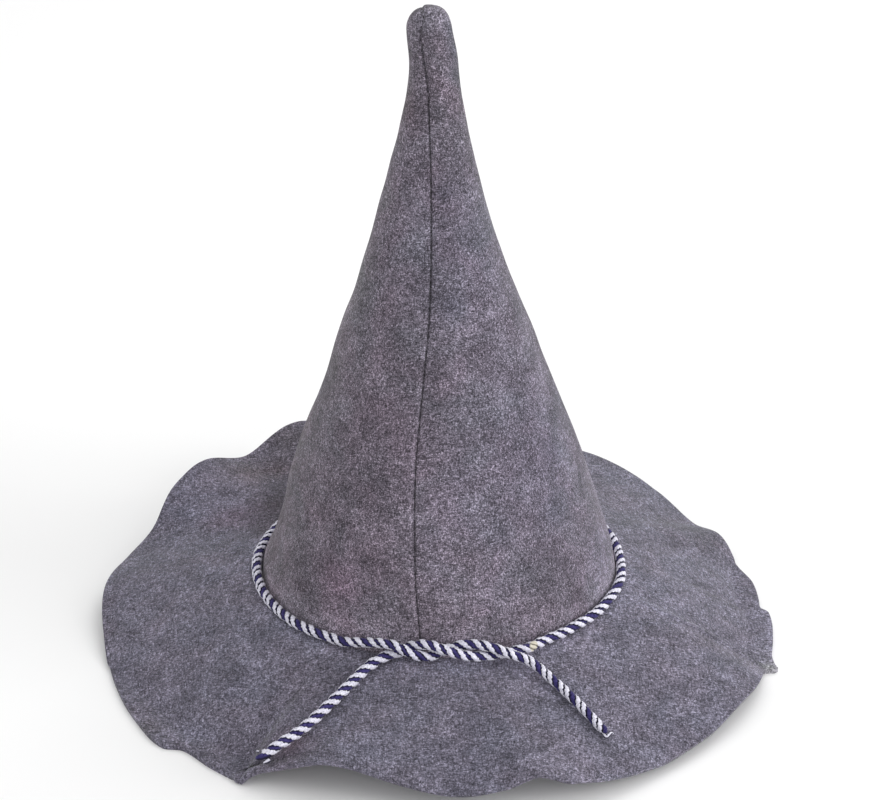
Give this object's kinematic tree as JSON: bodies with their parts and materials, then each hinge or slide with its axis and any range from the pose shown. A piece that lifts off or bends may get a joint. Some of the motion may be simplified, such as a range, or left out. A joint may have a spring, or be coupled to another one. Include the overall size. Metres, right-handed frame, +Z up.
{
  "type": "tall pointed felt hat with cord",
  "caption": "Tall pointed cone hat of soft grey felt with a wide wavy brim, a seam down its front and a twisted cord tied round the foot of its crown.",
  "frame": {"origin": "on the surface that the hat rests on, under the middle of its box without the cord, within 2 mm of the crown's axis", "axes": "+Z up along the crown, -Y towards the front with the crown's seam and the cord's tie, +X towards the wearer's left as the hat is worn with the tie in front"},
  "size_m": [0.3635, 0.3606, 0.343],
  "materials": {
    "crown_felt": "soft pressed felt, grey melange, matt",
    "brim_felt": "soft pressed felt, grey melange, matt",
    "cord_yarn": "twisted yarn in white and navy blue, matt"
  },
  "bodies": {
    "root": {"crown": "crown_felt", "brim": "brim_felt", "hat_cord": "cord_yarn"}
  },
  "joints": []
}
